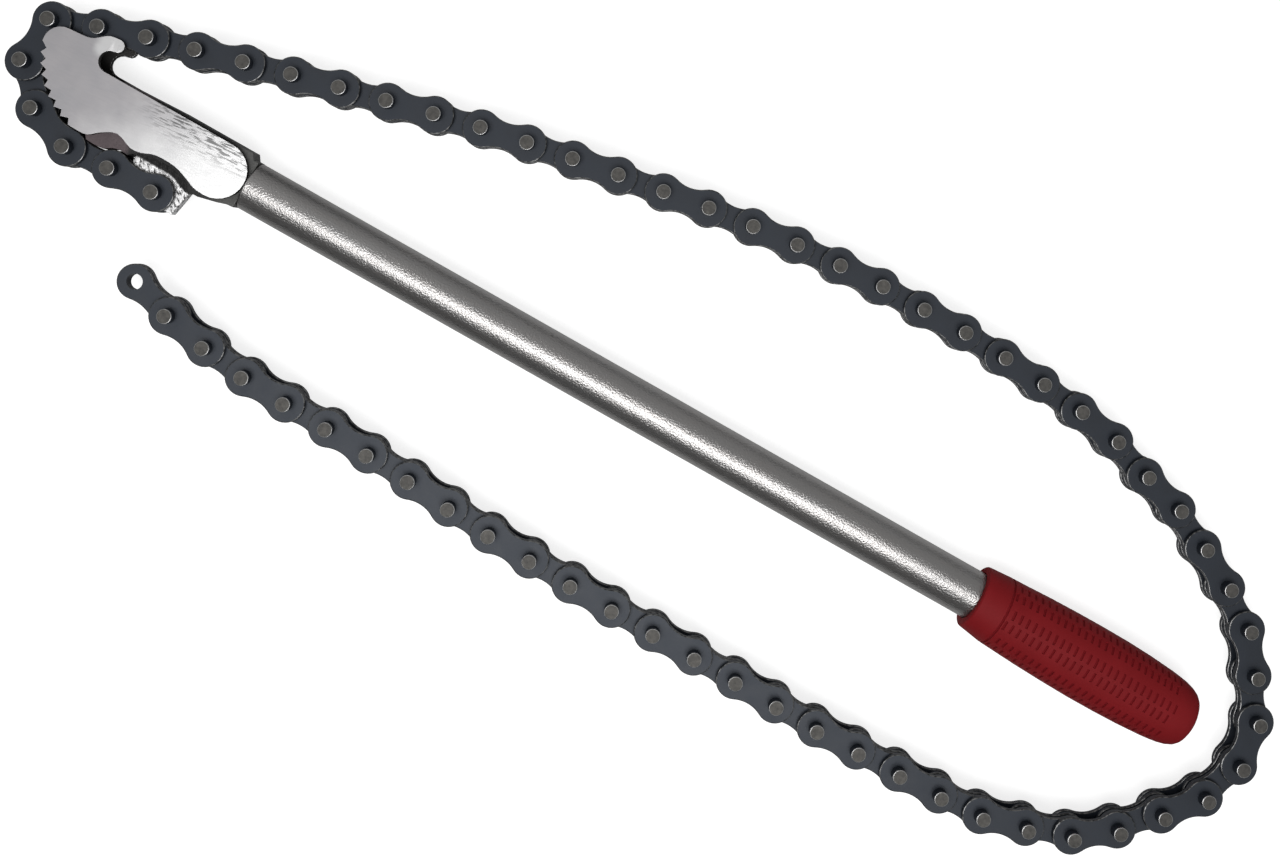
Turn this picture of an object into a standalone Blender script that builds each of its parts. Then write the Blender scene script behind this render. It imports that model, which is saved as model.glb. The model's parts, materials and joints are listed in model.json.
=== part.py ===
# Chain wrench: two toothed jaw plates on a core, a steel tube handle with a rubber grip, and a chain of
# 64 links that starts at a lug on the core and lies in a loop around the handle.
# X runs along the handle towards the grip and Y towards the hook side of the jaws. Z is up. The origin is on
# the lower jaw's outer face, on the handle's axis, level with the anchor pin.

import math

import bmesh
import bpy
from mathutils import Vector

MM = 0.001

# Fits and cuts
NEIGHBOUR_GAP = 0.3 * MM
CUT_OVERRUN = 2 * MM
PIN_CLEARANCE = 0.15 * MM
PIN_TO_JAW_GAP = 0.7 * MM

# Chain
CHAIN_PITCH = 19.05 * MM
LINK_COUNT = 64
PIN_RADIUS = 2.95 * MM
PIN_END_LENGTH = 5.05 * MM
OUTER_PLATE_THICKNESS = 2.2 * MM
INNER_PLATE_THICKNESS = 2.1 * MM
INNER_PLATE_SPACING = 1.7 * MM
OUTER_LOBE_RADIUS = 7.6 * MM
INNER_LOBE_RADIUS = 7.1 * MM
OUTER_WAIST_HALF_HEIGHT = 5.3 * MM
INNER_WAIST_HALF_HEIGHT = 4.9 * MM
BUSH_WALL = 1.0 * MM
PIN_SIDES = 8
LOBE_POINTS = 7
LOBE_SWEEP_DEG = 220
RIGID_PAIR_START_COUNTS = (8, 12, 16, 20, 24, 46, 50, 54, 58)

# Jaws
JAW_THICKNESS = 2.65 * MM
JAW_TOP_EDGE = 11.2 * MM
JAW_REAR_RADIUS = 11.3 * MM
JAW_REAR_X = 17.6 * MM
TOOTH_CENTRE_X = -31.7 * MM
TOOTH_CENTRE_Y = 20.3 * MM
TOOTH_RADIUS = 35.0 * MM
TOOTH_DEPTH = 2.0 * MM
TOOTH_COUNT = 9
TOOTH_FIRST_DEG = 197
TOOTH_STEP_DEG = 7.25
TOOTH_VALLEY_SHARE = 0.6
TOP_LOBE_RADIUS = 7.0 * MM
TOP_LOBE_X = -58.4 * MM
TOP_LOBE_Y = 12.1 * MM
SLOT_WIDTH = 8.7 * MM
SLOT_END_X = -43.4 * MM
HOOK_TIP_X = -36.7 * MM
HOOK_THICKNESS = 5.2 * MM
# Points between the top lobe's crown and the hook's crown, as shares of the way there and of the rise
JAW_SADDLE_SHARES = ((0.36, 0.09), (0.52, 0.28), (0.64, 0.6), (0.78, 0.9))
# Points from the last tooth to the rear end's lowest point, as shares of the way there and of the rear radius
JAW_LOWER_EDGE_SHARES = (
    (0.055, 1.21),
    (0.14, 1.17),
    (0.21, 0.88),
    (0.31, 0.635),
    (0.43, 0.845),
    (0.51, 0.80),
    (0.60, 0.63),
    (0.74, 0.64),
    (0.84, 0.80),
    (0.92, 0.97),
)

# Core, lug and spigot
CORE_LIP = 1.0 * MM
CORE_FRONT_X = -38.0 * MM
CORE_FRONT_TAPER = 6.0 * MM
CORE_LIP_START_X = -6.0 * MM
CORE_TOP_CORNER_LENGTH = 3.7 * MM
CORE_TOP_STEP_LENGTH = 2.1 * MM
CORE_TOP_STEP_DROP = 2.4 * MM
# Points of the core's lower edge, as shares of its length and of the jaws' rear radius: a belly behind the
# teeth, a flange along the jaws' lower edge, and the run-out to the tube
CORE_LOWER_EDGE_SHARES = (
    (0.0, 0.71),
    (0.037, 1.06),
    (0.073, 1.195),
    (0.131, 1.212),
    (0.182, 1.186),
    (0.231, 1.106),
    (0.275, 1.053),
    (0.323, 0.965),
    (0.371, 0.894),
    (0.453, 0.779),
    (0.525, 0.761),
    (0.591, 0.779),
    (0.654, 0.85),
    (0.701, 0.99),
    (0.724, 1.20),
    (0.792, 1.195),
    (0.899, 1.044),
    (0.961, 0.929),
    (1.0, 0.912),
)
LUG_DROP = 20.4 * MM
LUG_EDGE = 4.6 * MM
LUG_FRONT_X = -14.0 * MM
LUG_REAR_X = 11.4 * MM
LUG_REAR_SLOPE_LENGTH = 2.2 * MM
SPIGOT_LENGTH = 30.0 * MM

# Handle
TUBE_RADIUS = 10.0 * MM
TUBE_WALL = 1.6 * MM
TUBE_LENGTH = 431.6 * MM
TUBE_SIDES = 32
GRIP_LENGTH = 103.0 * MM
GRIP_MOUTH_RADIUS = 13.4 * MM
GRIP_BODY_RADIUS = 16.0 * MM
GRIP_END_WALL = 4.5 * MM
GRIP_DRIFT = 1.8 * MM
# The grip's side from the mouth on, as shares of its length, of the way from the mouth's radius to the body's,
# and of the drift of its centre line away from the hook side
GRIP_SIDE_SHARES = (
    (0.0, 0.0, 0.05),
    (0.05, 0.32, 0.30),
    (0.17, 0.54, 0.44),
    (0.28, 0.77, 0.50),
    (0.40, 0.92, 0.57),
    (0.52, 1.0, 0.64),
    (0.64, 0.96, 0.68),
    (0.75, 0.80, 0.75),
    (0.85, 0.52, 0.82),
)
# Its rounded end, as shares of its length, of the body's radius and of the drift
GRIP_END_SHARES = ((0.92, 0.865, 0.88), (0.98, 0.75, 0.95), (0.995, 0.60, 1.0), (1.0, 0.36, 1.0))

# The chain's route, from the anchor pin round the jaws, along the hook side, round the grip's end and back.
WRAP_GAP = 7.6 * MM
WRAP_DEGREES = (286, 262, 236, 211)
TOP_LOBE_WRAP_DEG = (148, 88)
TOP_RUN_HEIGHT = 90.4 * MM
BOTTOM_RUN_DEPTH = 77.0 * MM
LOOP_OVERHANG = 25.8 * MM
# Shares of the distance from the anchor pin to the loop's end, and of the run's height or depth
TOP_RUN_SHARES = (
    (-0.026, 0.398),
    (0.050, 0.515),
    (0.125, 0.619),
    (0.200, 0.722),
    (0.276, 0.804),
    (0.351, 0.875),
    (0.427, 0.943),
    (0.503, 0.979),
    (0.580, 1.0),
    (0.657, 0.990),
    (0.735, 0.952),
    (0.774, 0.916),
    (0.811, 0.846),
    (0.848, 0.789),
    (0.883, 0.696),
    (0.917, 0.594),
    (0.949, 0.475),
    (0.973, 0.309),
    (0.994, 0.132),
)
BOTTOM_RUN_SHARES = (
    (1.0, 0.091),
    (0.988, 0.323),
    (0.963, 0.513),
    (0.937, 0.694),
    (0.906, 0.840),
    (0.869, 0.918),
    (0.832, 0.979),
    (0.754, 0.997),
    (0.676, 1.004),
    (0.598, 0.990),
    (0.482, 0.978),
    (0.367, 0.952),
    (0.252, 0.891),
    (0.136, 0.861),
    (0.059, 0.779),
    (0.023, 0.714),
    (-0.05, 0.75),
    (-0.25, 1.35),
    (-0.60, 2.6),
)
ROUTE_STEPS = 24

# Levels that follow from the sizes above
PIN_BORE_RADIUS = (PIN_RADIUS + PIN_CLEARANCE) / math.cos(math.pi / PIN_SIDES)
BUSH_RADIUS = PIN_BORE_RADIUS + BUSH_WALL
INNER_HALF_WIDTH = INNER_PLATE_SPACING / 2 + INNER_PLATE_THICKNESS
OUTER_INNER_FACE = INNER_HALF_WIDTH + NEIGHBOUR_GAP
CHAIN_HALF_WIDTH = OUTER_INNER_FACE + OUTER_PLATE_THICKNESS
JAW_INNER_FACE = CHAIN_HALF_WIDTH + NEIGHBOUR_GAP
MID_Z = JAW_INNER_FACE + JAW_THICKNESS
ANCHOR_Y = -LUG_DROP
CORE_END_X = JAW_REAR_X + JAW_REAR_RADIUS + NEIGHBOUR_GAP
TUBE_START_X = CORE_END_X + NEIGHBOUR_GAP
TUBE_END_X = TUBE_START_X + TUBE_LENGTH
GRIP_END_X = TUBE_END_X + NEIGHBOUR_GAP + GRIP_END_WALL
LOOP_END_X = GRIP_END_X + LOOP_OVERHANG


def clear_scene():
    for old in list(bpy.data.objects):
        bpy.data.objects.remove(old, do_unlink=True)


def make_material(name, colour, roughness, metallic):
    material = bpy.data.materials.new(name)
    material.use_nodes = True
    shader = material.node_tree.nodes["Principled BSDF"]
    shader.inputs["Base Color"].default_value = (*colour, 1)
    shader.inputs["Roughness"].default_value = roughness
    shader.inputs["Metallic"].default_value = metallic
    return material


def arc_points(centre, radius, start_deg, end_deg, steps):
    points = []
    for i in range(steps + 1):
        angle = math.radians(start_deg + (end_deg - start_deg) * i / steps)
        points.append(Vector((centre[0] + radius * math.cos(angle), centre[1] + radius * math.sin(angle))))
    return points


def curve_through(points, steps):
    """A Catmull-Rom curve through the points, which are two-dimensional vectors."""
    ends = [2 * points[0] - points[1], *points, 2 * points[-1] - points[-2]]
    curve = [points[0]]
    for before, start, end, after in zip(ends, ends[1:], ends[2:], ends[3:]):
        for i in range(1, steps + 1):
            t = i / steps
            curve.append(
                0.5
                * (
                    2 * start
                    + (end - before) * t
                    + (2 * before - 5 * start + 4 * end - after) * t**2
                    + (3 * start - before - 3 * end + after) * t**3
                )
            )
    return curve


def prism_mesh(name, outline, low, high):
    """A closed prism over an outline that runs anticlockwise."""
    shape = bmesh.new()
    bottom = [shape.verts.new((point[0], point[1], low)) for point in outline]
    top = [shape.verts.new((point[0], point[1], high)) for point in outline]
    shape.faces.new(reversed(bottom))
    shape.faces.new(top)
    for i, corner in enumerate(bottom):
        after = (i + 1) % len(bottom)
        shape.faces.new((corner, bottom[after], top[after], top[i]))
    mesh = bpy.data.meshes.new(name)
    shape.to_mesh(mesh)
    shape.free()
    return mesh


def turned_mesh(name, profile, sides):
    """A closed solid about X from a closed profile of (x, radius, centre y) that starts on its outer side."""
    shape = bmesh.new()
    rings = []
    for x, radius, centre in profile:
        if radius > 0:
            angles = [2 * math.pi * i / sides for i in range(sides)]
            ring = [shape.verts.new((x, centre + radius * math.cos(a), radius * math.sin(a))) for a in angles]
        else:
            ring = [shape.verts.new((x, centre, 0))]
        rings.append(ring)
    for ring, beyond in zip(rings, rings[1:] + rings[:1]):
        if len(ring) == 1 and len(beyond) == 1:
            continue
        for i in range(sides):
            after = (i + 1) % sides
            corners = [ring[i % len(ring)], ring[after % len(ring)]]
            corners += [beyond[after % len(beyond)], beyond[i % len(beyond)]]
            shape.faces.new(list(dict.fromkeys(corners)))
    bmesh.ops.recalc_face_normals(shape, faces=shape.faces)
    mesh = bpy.data.meshes.new(name)
    shape.to_mesh(mesh)
    shape.free()
    return mesh


def helper_object(mesh):
    helper = bpy.data.objects.new(mesh.name, mesh)
    bpy.context.collection.objects.link(helper)
    return helper


def combined_mesh(name, first, steps):
    """The first mesh after each (operation, mesh) Boolean in turn."""
    body = helper_object(first)
    helpers = [body]
    for operation, mesh in steps:
        helper = helper_object(mesh)
        helpers.append(helper)
        boolean = body.modifiers.new(operation, "BOOLEAN")
        boolean.operation = operation
        boolean.solver = "EXACT"
        boolean.object = helper
    evaluated = body.evaluated_get(bpy.context.evaluated_depsgraph_get())
    result = bpy.data.meshes.new_from_object(evaluated)
    result.name = name
    for helper in helpers:
        bpy.data.objects.remove(helper, do_unlink=True)
    return result


def place(name, mesh, material, location=(0, 0, MID_Z), turn=0.0):
    node = bpy.data.objects.new(name, mesh)
    bpy.context.collection.objects.link(node)
    if not mesh.materials:
        mesh.materials.append(material)
    node.location = location
    node.rotation_euler = (0, 0, turn)
    return node


def shade_round(node):
    node.data.shade_smooth()
    node.data.set_sharp_from_angle(angle=math.radians(30))


def link_outline(lobe_radius, waist_half_height):
    """One plate's outline, first pin at zero and second pin one pitch along X."""
    half_sweep = LOBE_SWEEP_DEG / 2
    middle = CHAIN_PITCH / 2
    far_lobe = arc_points((CHAIN_PITCH, 0), lobe_radius, -half_sweep, half_sweep, LOBE_POINTS - 1)
    near_lobe = arc_points((0, 0), lobe_radius, 180 - half_sweep, 180 + half_sweep, LOBE_POINTS - 1)
    return [*far_lobe, (middle, waist_half_height), *near_lobe, (middle, -waist_half_height)]


def moved(points, distance):
    return [(point[0] + distance, point[1]) for point in points]


def rod_outline(radius, x, y=0):
    return arc_points((x, y), radius, 0, 360 - 360 / PIN_SIDES, PIN_SIDES - 1)


def outer_link_parts(shift):
    """The plates and pins of an outer link whose first pin is at the shift, as meshes to be joined."""
    outline = moved(link_outline(OUTER_LOBE_RADIUS, OUTER_WAIST_HALF_HEIGHT), shift)
    pin_half = CHAIN_HALF_WIDTH + PIN_END_LENGTH
    return [
        prism_mesh("upper_plate", outline, OUTER_INNER_FACE, CHAIN_HALF_WIDTH),
        prism_mesh("lower_plate", outline, -CHAIN_HALF_WIDTH, -OUTER_INNER_FACE),
        prism_mesh("first_pin", rod_outline(PIN_RADIUS, shift), -pin_half, pin_half),
        prism_mesh("second_pin", rod_outline(PIN_RADIUS, shift + CHAIN_PITCH), -pin_half, pin_half),
    ]


def inner_link_parts(shift):
    """The plates and bushes of an inner link whose first bore is at the shift, as meshes to be joined."""
    outline = moved(link_outline(INNER_LOBE_RADIUS, INNER_WAIST_HALF_HEIGHT), shift)
    low = INNER_PLATE_SPACING / 2
    bush_half = low + INNER_PLATE_THICKNESS / 2
    return [
        prism_mesh("upper_plate", outline, low, INNER_HALF_WIDTH),
        prism_mesh("lower_plate", outline, -INNER_HALF_WIDTH, -low),
        prism_mesh("first_bush", rod_outline(BUSH_RADIUS, shift), -bush_half, bush_half),
        prism_mesh("second_bush", rod_outline(BUSH_RADIUS, shift + CHAIN_PITCH), -bush_half, bush_half),
    ]


def bore_mesh(x, y):
    reach = INNER_HALF_WIDTH + CUT_OVERRUN
    return prism_mesh("bore", rod_outline(PIN_BORE_RADIUS, x, y), -reach, reach)


def link_mesh(name, kinds):
    """The mesh of one link, or of two rigid links in line. Kinds is a list of outer and inner."""
    joined = []
    for i, kind in enumerate(kinds):
        parts = outer_link_parts if kind == "outer" else inner_link_parts
        joined += parts(i * CHAIN_PITCH)
    steps = [("UNION", mesh) for mesh in joined[1:]]
    if kinds[0] == "inner":
        steps.append(("DIFFERENCE", bore_mesh(0, 0)))
    if kinds[-1] == "inner":
        steps.append(("DIFFERENCE", bore_mesh(len(kinds) * CHAIN_PITCH, 0)))
    return combined_mesh(name, joined[0], steps)


def chain_route():
    """The curve that the pins lie on, from the anchor pin to beyond the free end."""
    pin_gap = PIN_RADIUS + PIN_TO_JAW_GAP
    wrap_radius = TOOTH_RADIUS + WRAP_GAP
    points = [Vector((0, ANCHOR_Y))]
    for degrees in WRAP_DEGREES:
        points += arc_points((TOOTH_CENTRE_X, TOOTH_CENTRE_Y), wrap_radius, degrees, degrees, 1)[:1]
    lobe_centre = (TOP_LOBE_X, TOP_LOBE_Y)
    points += arc_points(lobe_centre, TOP_LOBE_RADIUS + pin_gap, *TOP_LOBE_WRAP_DEG, 2)[::2]
    hook_crown = slot_top() + HOOK_THICKNESS
    points.append(Vector((SLOT_END_X - HOOK_THICKNESS, hook_crown + PIN_TO_JAW_GAP / 2)))
    points.append(Vector((hook_centre_x(), hook_crown + pin_gap)))
    points += [Vector((LOOP_END_X * x, TOP_RUN_HEIGHT * y)) for x, y in TOP_RUN_SHARES]
    points += [Vector((LOOP_END_X * x, -BOTTOM_RUN_DEPTH * y)) for x, y in BOTTOM_RUN_SHARES]
    return curve_through(points, ROUTE_STEPS)


def step_along(route, start, index, distance):
    """The first place on the route, after the given index, that lies the distance from the start."""
    while (route[index + 1] - start).length < distance:
        index += 1
    low, high = route[index], route[index + 1]
    along = high - low
    offset = low - start
    half_b = offset.dot(along) / along.length_squared
    c = (offset.length_squared - distance**2) / along.length_squared
    share = -half_b + math.sqrt(half_b**2 - c)
    return low + along * share, index


def build_chain(steel):
    outer = link_mesh("outer_link", ["outer"])
    inner = link_mesh("inner_link", ["inner"])
    inner_then_outer = link_mesh("inner_and_outer_link", ["inner", "outer"])
    route = chain_route()
    pin = route[0]
    index = 0
    number = 1
    while number <= LINK_COUNT:
        rigid = number in RIGID_PAIR_START_COUNTS
        pitches = 2 if rigid else 1
        after, index = step_along(route, pin, index, pitches * CHAIN_PITCH)
        turn = math.atan2(after.y - pin.y, after.x - pin.x)
        mesh = outer if number % 2 else inner
        name = f"link_{number:02d}"
        if rigid:
            mesh = inner_then_outer
            name = f"links_{number:02d}_{number + 1:02d}"
        place(name, mesh, steel, (pin.x, pin.y, MID_Z), turn)
        pin = after
        number += pitches


def slot_top():
    return JAW_TOP_EDGE + SLOT_WIDTH


def hook_centre_x():
    return HOOK_TIP_X - HOOK_THICKNESS / 2


def tooth_points():
    """Tips and valleys from the top lobe down."""
    centre = (TOOTH_CENTRE_X, TOOTH_CENTRE_Y)
    points = []
    for i in range(TOOTH_COUNT):
        tip = TOOTH_FIRST_DEG + i * TOOTH_STEP_DEG
        valley = tip + TOOTH_VALLEY_SHARE * TOOTH_STEP_DEG
        points += arc_points(centre, TOOTH_RADIUS, tip, tip, 1)[:1]
        if i < TOOTH_COUNT - 1:
            points += arc_points(centre, TOOTH_RADIUS - TOOTH_DEPTH, valley, valley, 1)[:1]
    return points


def jaw_outline():
    """Anticlockwise from the top lobe's crown: teeth, lower edge, rear end, slot and hook."""
    lobe = arc_points((TOP_LOBE_X, TOP_LOBE_Y), TOP_LOBE_RADIUS, 90, 190, 6)
    teeth = tooth_points()
    rear = arc_points((JAW_REAR_X, JAW_TOP_EDGE - JAW_REAR_RADIUS), JAW_REAR_RADIUS, -90, 90, 14)
    last_tooth = teeth[-1]
    span = JAW_REAR_X - last_tooth.x
    lower = [last_tooth]
    for along, depth in JAW_LOWER_EDGE_SHARES:
        lower.append(Vector((last_tooth.x + along * span, -depth * JAW_REAR_RADIUS)))
    lower.append(rear[0])
    slot_radius = SLOT_WIDTH / 2
    slot = arc_points((SLOT_END_X + slot_radius, JAW_TOP_EDGE + slot_radius), slot_radius, 270, 90, 8)
    hook_radius = HOOK_THICKNESS / 2
    hook = arc_points((hook_centre_x(), slot_top() + hook_radius), hook_radius, -90, 90, 6)
    crown = lobe[0]
    saddle = [hook[-1]]
    way = hook[-1] - crown
    for along, rise in reversed(JAW_SADDLE_SHARES):
        saddle.append(crown + Vector((along * way.x, rise * way.y)))
    saddle.append(crown)
    return [
        *lobe,
        *teeth[:-1],
        *curve_through(lower, 3)[:-1],
        *rear,
        *slot,
        *hook[:-1],
        *curve_through(saddle, 2)[:-1],
    ]


def build_jaws(steel):
    outline = jaw_outline()
    upper = prism_mesh("upper_jaw", outline, JAW_INNER_FACE, JAW_INNER_FACE + JAW_THICKNESS)
    lower = prism_mesh("lower_jaw", outline, -JAW_INNER_FACE - JAW_THICKNESS, -JAW_INNER_FACE)
    place("upper_jaw", upper, steel)
    place("lower_jaw", lower, steel)


def core_body_outline(spigot_radius):
    """Anticlockwise from the root of the spigot. The root lies inside the spigot."""
    top = JAW_TOP_EDGE
    core_length = CORE_END_X - CORE_FRONT_X
    root_half = spigot_radius / 2
    root_end = CORE_END_X + root_half
    step_low = top + CORE_LIP - CORE_TOP_STEP_DROP
    lower = [(CORE_FRONT_X + x * core_length, -y * JAW_REAR_RADIUS) for x, y in CORE_LOWER_EDGE_SHARES]
    return [
        (CORE_END_X, -root_half),
        (root_end, -root_half),
        (root_end, root_half),
        (CORE_END_X, root_half),
        (CORE_END_X, step_low),
        (CORE_END_X - CORE_TOP_STEP_LENGTH, step_low),
        (CORE_END_X - CORE_TOP_CORNER_LENGTH, top + CORE_LIP),
        (CORE_LIP_START_X, top + CORE_LIP),
        (CORE_FRONT_X + CORE_FRONT_TAPER, top),
        (CORE_FRONT_X, top - CORE_FRONT_TAPER),
        *lower,
    ]


def lug_outline():
    """Anticlockwise from its front side. Its top lies inside the core."""
    low = ANCHOR_Y - LUG_EDGE
    return [
        (LUG_FRONT_X, 0),
        (LUG_FRONT_X, -JAW_REAR_RADIUS - CORE_LIP),
        *arc_points((0, ANCHOR_Y), LUG_EDGE, 200, 290, 4),
        (LUG_REAR_X - LUG_REAR_SLOPE_LENGTH, low),
        (LUG_REAR_X, -JAW_REAR_RADIUS - CORE_LIP),
        (LUG_REAR_X, 0),
    ]


def build_core(dark):
    spigot_radius = TUBE_RADIUS - TUBE_WALL - NEIGHBOUR_GAP
    spigot_end = TUBE_START_X + SPIGOT_LENGTH
    body = prism_mesh("core_body", core_body_outline(spigot_radius), -CHAIN_HALF_WIDTH, CHAIN_HALF_WIDTH)
    lug = prism_mesh("lug", lug_outline(), -INNER_HALF_WIDTH, INNER_HALF_WIDTH)
    profile = [
        (CORE_END_X, 0, 0),
        (CORE_END_X, spigot_radius, 0),
        (spigot_end, spigot_radius, 0),
        (spigot_end, 0, 0),
    ]
    spigot = turned_mesh("spigot", profile, TUBE_SIDES)
    bore = bore_mesh(0, ANCHOR_Y)
    steps = [("UNION", lug), ("UNION", spigot), ("DIFFERENCE", bore)]
    place("head_core", combined_mesh("head_core", body, steps), dark)


def build_tube(steel):
    bore_radius = TUBE_RADIUS - TUBE_WALL
    profile = [
        (TUBE_START_X, TUBE_RADIUS, 0),
        (TUBE_END_X, TUBE_RADIUS, 0),
        (TUBE_END_X, bore_radius, 0),
        (TUBE_START_X, bore_radius, 0),
    ]
    shade_round(place("handle_tube", turned_mesh("handle_tube", profile, TUBE_SIDES), steel))


def build_grip(rubber):
    start = GRIP_END_X - GRIP_LENGTH
    swell = GRIP_BODY_RADIUS - GRIP_MOUTH_RADIUS
    bore_radius = TUBE_RADIUS + NEIGHBOUR_GAP
    bore_end = TUBE_END_X + NEIGHBOUR_GAP
    profile = []
    for along, grown, drift in GRIP_SIDE_SHARES:
        profile.append((start + GRIP_LENGTH * along, GRIP_MOUTH_RADIUS + swell * grown, -GRIP_DRIFT * drift))
    for along, size, drift in GRIP_END_SHARES:
        profile.append((start + GRIP_LENGTH * along, GRIP_BODY_RADIUS * size, -GRIP_DRIFT * drift))
    profile += [
        (GRIP_END_X, 0, -GRIP_DRIFT),
        (bore_end, 0, 0),
        (bore_end, bore_radius, 0),
        (start, bore_radius, 0),
    ]
    shade_round(place("grip", turned_mesh("grip", profile, TUBE_SIDES), rubber))


def main():
    clear_scene()
    build_jaws(make_material("jaw_steel", (0.55, 0.55, 0.55), 0.35, 1.0))
    build_core(make_material("core_steel", (0.06, 0.06, 0.06), 0.5, 0.6))
    build_tube(make_material("tube_steel", (0.5, 0.5, 0.52), 0.4, 1.0))
    build_grip(make_material("grip_rubber", (0.25, 0.01, 0.015), 0.6, 0.0))
    build_chain(make_material("chain_steel", (0.03, 0.035, 0.045), 0.45, 0.8))


main()
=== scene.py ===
# Looks of the chain wrench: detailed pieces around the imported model, their finishes, and the studio.
# X runs along the handle towards the grip, Y towards the hook side of the jaws, and Z is up.

import json
import math

import bmesh
import bpy
from mathutils import Matrix, Vector


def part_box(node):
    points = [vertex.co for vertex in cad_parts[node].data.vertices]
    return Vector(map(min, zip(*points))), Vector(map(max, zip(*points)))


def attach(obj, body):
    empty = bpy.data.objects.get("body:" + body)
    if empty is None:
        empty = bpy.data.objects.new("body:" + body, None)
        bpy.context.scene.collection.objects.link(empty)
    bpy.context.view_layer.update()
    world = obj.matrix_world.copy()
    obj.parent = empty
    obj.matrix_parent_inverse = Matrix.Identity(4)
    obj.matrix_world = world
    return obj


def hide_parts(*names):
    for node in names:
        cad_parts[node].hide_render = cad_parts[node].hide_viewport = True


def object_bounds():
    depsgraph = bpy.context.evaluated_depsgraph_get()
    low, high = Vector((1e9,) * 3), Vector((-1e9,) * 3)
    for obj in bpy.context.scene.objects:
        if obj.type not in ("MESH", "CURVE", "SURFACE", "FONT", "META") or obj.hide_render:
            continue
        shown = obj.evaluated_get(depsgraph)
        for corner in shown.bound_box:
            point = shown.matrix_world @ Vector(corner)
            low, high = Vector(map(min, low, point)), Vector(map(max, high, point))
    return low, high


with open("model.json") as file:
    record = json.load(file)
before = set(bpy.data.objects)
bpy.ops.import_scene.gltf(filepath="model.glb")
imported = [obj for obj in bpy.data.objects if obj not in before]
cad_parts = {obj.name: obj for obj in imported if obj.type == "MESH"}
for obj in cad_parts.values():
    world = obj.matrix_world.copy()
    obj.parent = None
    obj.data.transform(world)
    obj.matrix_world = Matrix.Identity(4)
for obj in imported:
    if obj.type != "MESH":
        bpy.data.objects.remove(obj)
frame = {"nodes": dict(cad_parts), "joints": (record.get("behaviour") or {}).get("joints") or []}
cad_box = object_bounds()

MM = 0.001
MERGE_DISTANCE = 0.001 * MM

# Chain, with the sizes of the CAD links
CHAIN_PITCH = 19.05 * MM
PIN_RADIUS = 2.95 * MM
PIN_END_LENGTH = 5.05 * MM
PIN_CHAMFER = 0.28 * MM
PIN_SEGMENTS = 32
OUTER_PLATE_THICKNESS = 2.2 * MM
INNER_PLATE_THICKNESS = 2.1 * MM
INNER_PLATE_SPACING = 1.7 * MM
PLATE_GAP = 0.3 * MM
OUTER_LOBE_RADIUS = 7.6 * MM
INNER_LOBE_RADIUS = 7.1 * MM
OUTER_WAIST = 5.3 * MM
INNER_WAIST = 4.9 * MM
PLATE_EDGE = 0.4 * MM
BUSH_WALL = 1.0 * MM
BORE_CLEARANCE = 0.2 * MM
LOBE_STEPS = 12
WAIST_STEPS = 5

# Jaws and core
JAW_EDGE = 0.38 * MM
CORE_EDGE = 0.35 * MM
FLAT_ANGLE = math.radians(0.5)
CORNER_ANGLE = math.radians(35)
CORE_CORNER_ANGLE = math.radians(50)
SHARP_ANGLE = math.radians(18)
LUG_TOP_Y = -10.0 * MM
LUG_LEVEL = 4.0 * MM
# The belly is lowered to carry painted shade into the pocket between jaw and chain.
BELLY_FRONT_X = -34.0 * MM
BELLY_REAR_X = -13.9 * MM
BELLY_TOP_Y = -9.8 * MM
BELLY_EXTRA_DEPTH = 1.9 * MM
BELLY_GAP = 0.5 * MM
# Where the core's colour changes: brown painted shade, black scale with painted shade, satin grey
CORE_BROWN_END_X = -18.5 * MM
CORE_BLACK_START_X = -15.5 * MM
CORE_BLACK_END_X = 13.0 * MM
CORE_SATIN_START_X = 27.0 * MM
# Painted highlight: where the jaws' ground face turns near-white towards the rear
JAW_BRIGHT_START_X = -38.0 * MM
JAW_BRIGHT_END_X = 14.0 * MM
JAW_BRIGHT_RAGGEDNESS = 24.0 * MM
SCRATCH_TURN = math.radians(-5)
SCRATCH_LOW_Y = -1.0 * MM
SCRATCH_FULL_Y = 9.0 * MM
SCRATCH_START_X = -24.0 * MM
SCRATCH_FULL_X = -4.0 * MM
HOOK_MIDDLE = (-40.5 * MM, 21.5 * MM, 16.8 * MM)
HOOK_SHINE_RADIUS = 8.0 * MM
LUG_SIDE_TOP_Y = -15.5 * MM
# Painted shadow of the core on the lug: its edge, raggedness and slope
LUG_SHADOW_EDGE_Y = -11.1 * MM
LUG_SHADOW_RAGGEDNESS = 1.6 * MM
LUG_SHADOW_SLOPE_LENGTH = 11.0 * MM
LUG_SHADOW_SLOPE_DROP = 3.2 * MM
LUG_GRINDING_TURN = math.radians(40)

# Tube
TUBE_RADIUS = 10.0 * MM
TUBE_WALL = 1.6 * MM
TUBE_CHAMFER = 0.5 * MM
TUBE_STEPS = 96

# Grip
GRIP_LENGTH = 103.0 * MM
GRIP_MOUTH_RADIUS = 13.4 * MM
GRIP_BODY_RADIUS = 16.0 * MM
GRIP_BORE_RADIUS = 10.3 * MM
GRIP_BORE_DEPTH = 98.5 * MM
GRIP_DRIFT = 1.8 * MM
GRIP_LIP = 1.2 * MM
MOUTH_BAND_LENGTH = 11.0 * MM
BAND_GROOVE_LENGTH = 0.8 * MM
GROOVE_DEPTH = 0.45 * MM
GROOVE_SLOPE = 0.25 * MM
GROOVE_PITCH = 3.15 * MM
GROOVE_ROWS = 25
GROOVE_COLUMNS = 14
STEPS_PER_COLUMN = 5
STEPS_PER_GROOVE = 3
STEPS_BEFORE_COLUMNS = 3
# Places of the ring edges in one pitch, as shares of it. Columns have their grooves in the second or the last.
GROOVE_RING_SHARES = (0.0, 0.16, 0.5, 0.66)
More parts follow.
